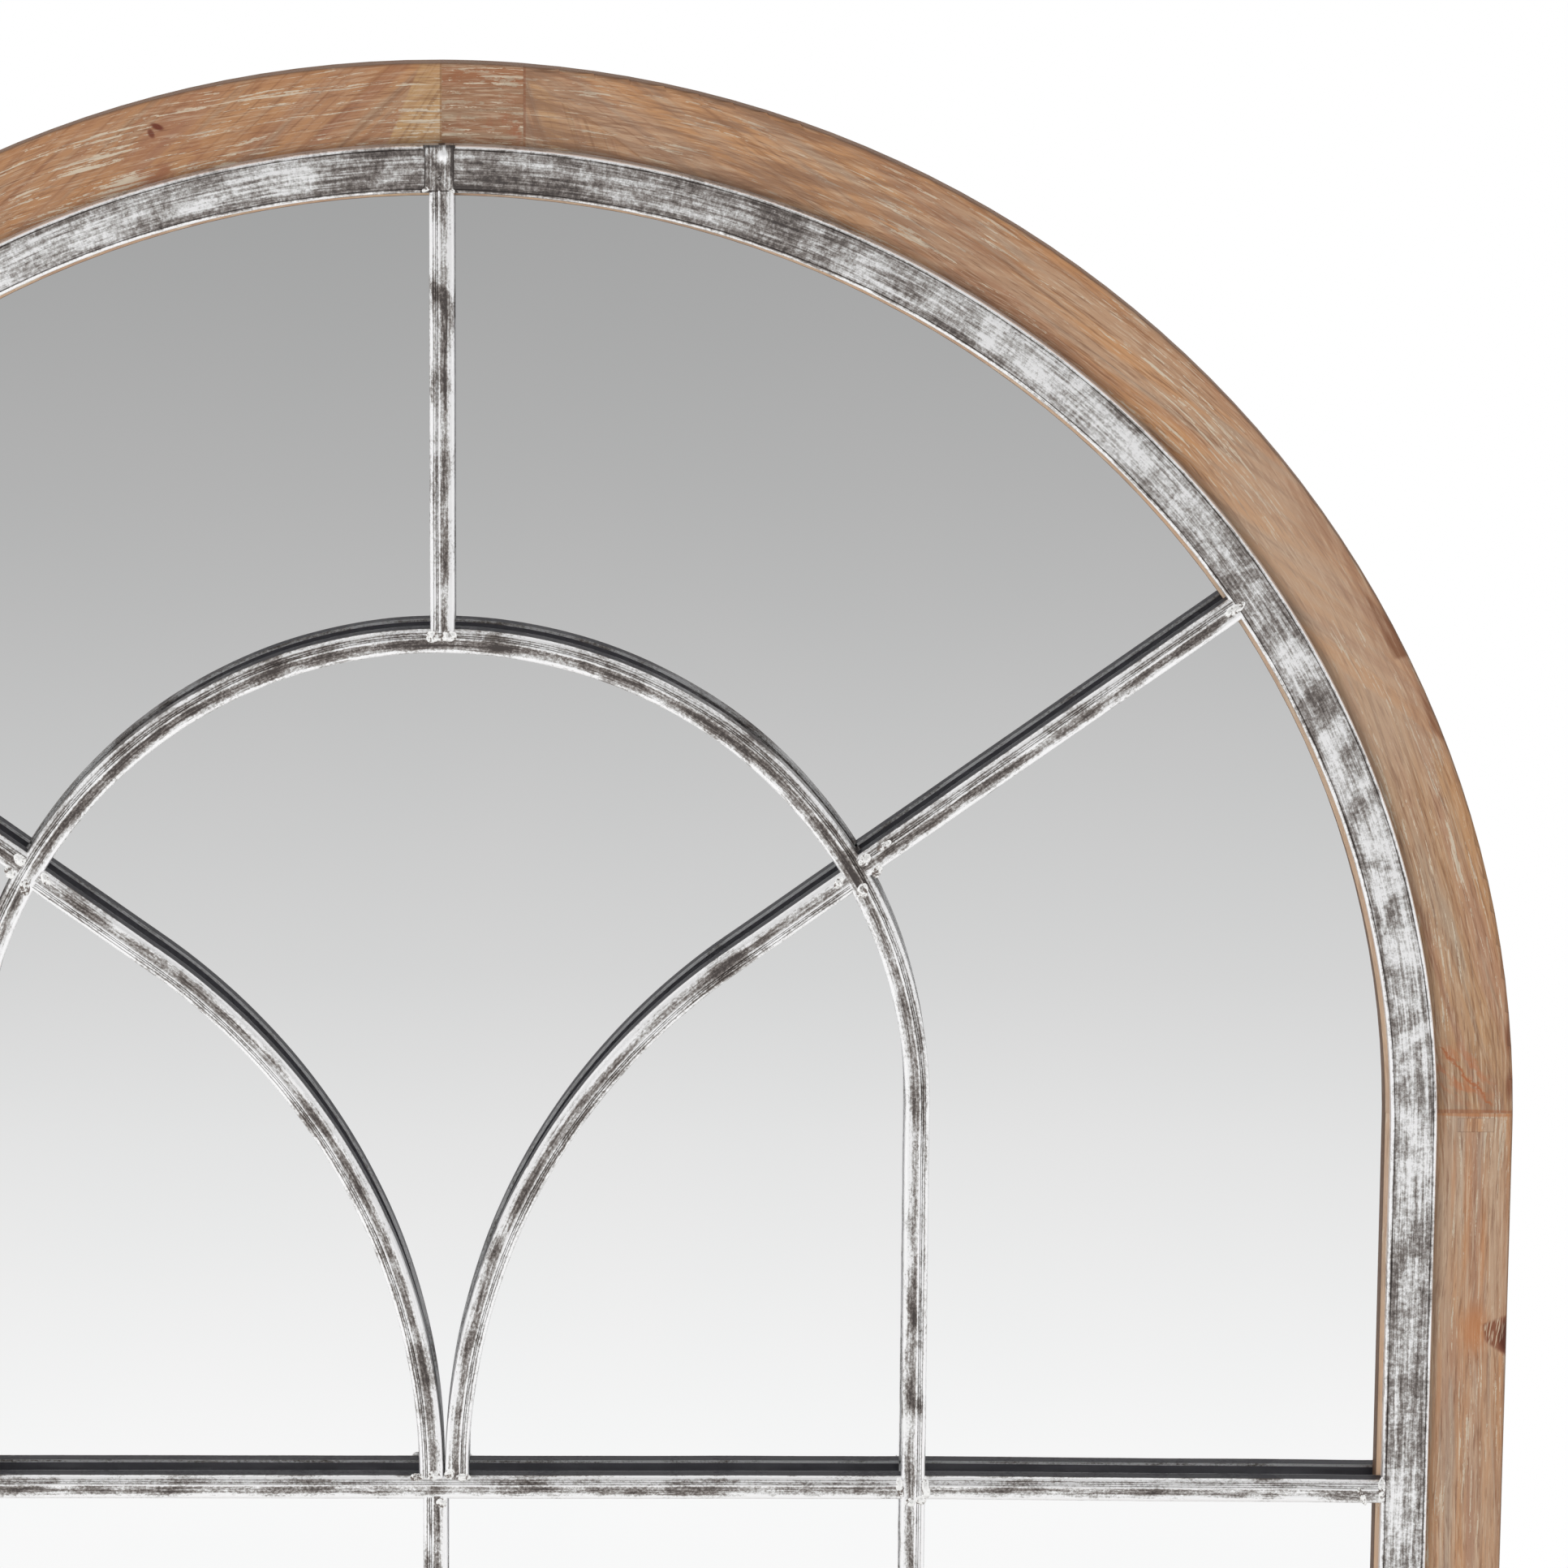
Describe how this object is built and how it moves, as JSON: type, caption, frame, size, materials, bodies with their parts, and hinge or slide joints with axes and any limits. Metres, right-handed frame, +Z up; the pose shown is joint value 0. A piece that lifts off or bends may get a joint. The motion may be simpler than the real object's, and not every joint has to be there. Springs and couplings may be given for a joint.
{
  "type": "arched window mirror",
  "caption": "Wall mirror shaped like a round-headed window: wood frame, silvered metal grille with tracery in front of the glass, boarded back with D-ring hangers.",
  "frame": {"origin": "middle of the frame's bottom edge, at the middle of the wood's thickness", "axes": "+Z up along the stiles, -Y out of the front face, +X to the right seen from the front"},
  "size_m": [0.965, 0.0375, 1.448],
  "materials": {
    "wood": "limewashed hardwood, straight grained, satin",
    "key_wood": "redder hardwood, limewashed, satin",
    "dowel_wood": "plain beech",
    "silvered_metal": "silver leaf over a dark ground, brushed along its length and worn bright at the edges",
    "weld_metal": "bright silvered weld beads",
    "bare_steel": "plain mild steel",
    "zinc_steel": "zinc plated",
    "mirror": "silvered float glass",
    "foam": "thin white foam sheet",
    "board": "bare fibreboard",
    "bumper_rubber": "black rubber"
  },
  "bodies": {
    "root": {"arch_wood_left": "wood", "arch_wood_key": "key_wood", "arch_wood_right": "wood", "stile_left": "wood", "stile_right": "wood", "bottom_rail": "wood", "joint_dowels": "dowel_wood", "spring_joint_keys": "key_wood", "ring_left": "silvered_metal", "ring_right": "silvered_metal", "ring_bottom": "silvered_metal", "ring_fixing_lugs": "bare_steel", "ring_fixing_screws": "zinc_steel", "ring_fixing_washers": "zinc_steel", "inner_arch": "silvered_metal", "top_bar": "silvered_metal", "tracery_right": "silvered_metal", "tracery_left": "silvered_metal", "diagonal_right": "silvered_metal", "diagonal_left": "silvered_metal", "crossbar_centre": "silvered_metal", "crossbar_left": "silvered_metal", "crossbar_right": "silvered_metal", "lower_centre_bar": "silvered_metal", "rung_outer_left": "silvered_metal", "rung_outer_right": "silvered_metal", "rung_inner_left": "silvered_metal", "rung_inner_right": "silvered_metal", "weld_beads": "weld_metal", "mirror_glass": "mirror", "foam_sheet": "foam", "backing_board": "board", "board_screws": "zinc_steel", "hanger_strap_left": "zinc_steel", "hanger_strap_right": "zinc_steel", "hanger_screws": "zinc_steel", "wall_bumpers": "bumper_rubber"},
    "hook_ring_left": {"hanger_ring_left": "zinc_steel"},
    "hook_ring_right": {"hanger_ring_right": "zinc_steel"}
  },
  "joints": [
    {"name": "hook_ring_left_swing", "type": "hinge", "parent": "root", "child": "hook_ring_left", "pos_m": [-0.4505, 0.01855, 0.8905], "axis": [1, 0, 0], "range_deg": [0, 180]},
    {"name": "hook_ring_right_swing", "type": "hinge", "parent": "root", "child": "hook_ring_right", "pos_m": [0.4505, 0.01855, 0.8905], "axis": [1, 0, 0], "range_deg": [0, 180]}
  ]
}
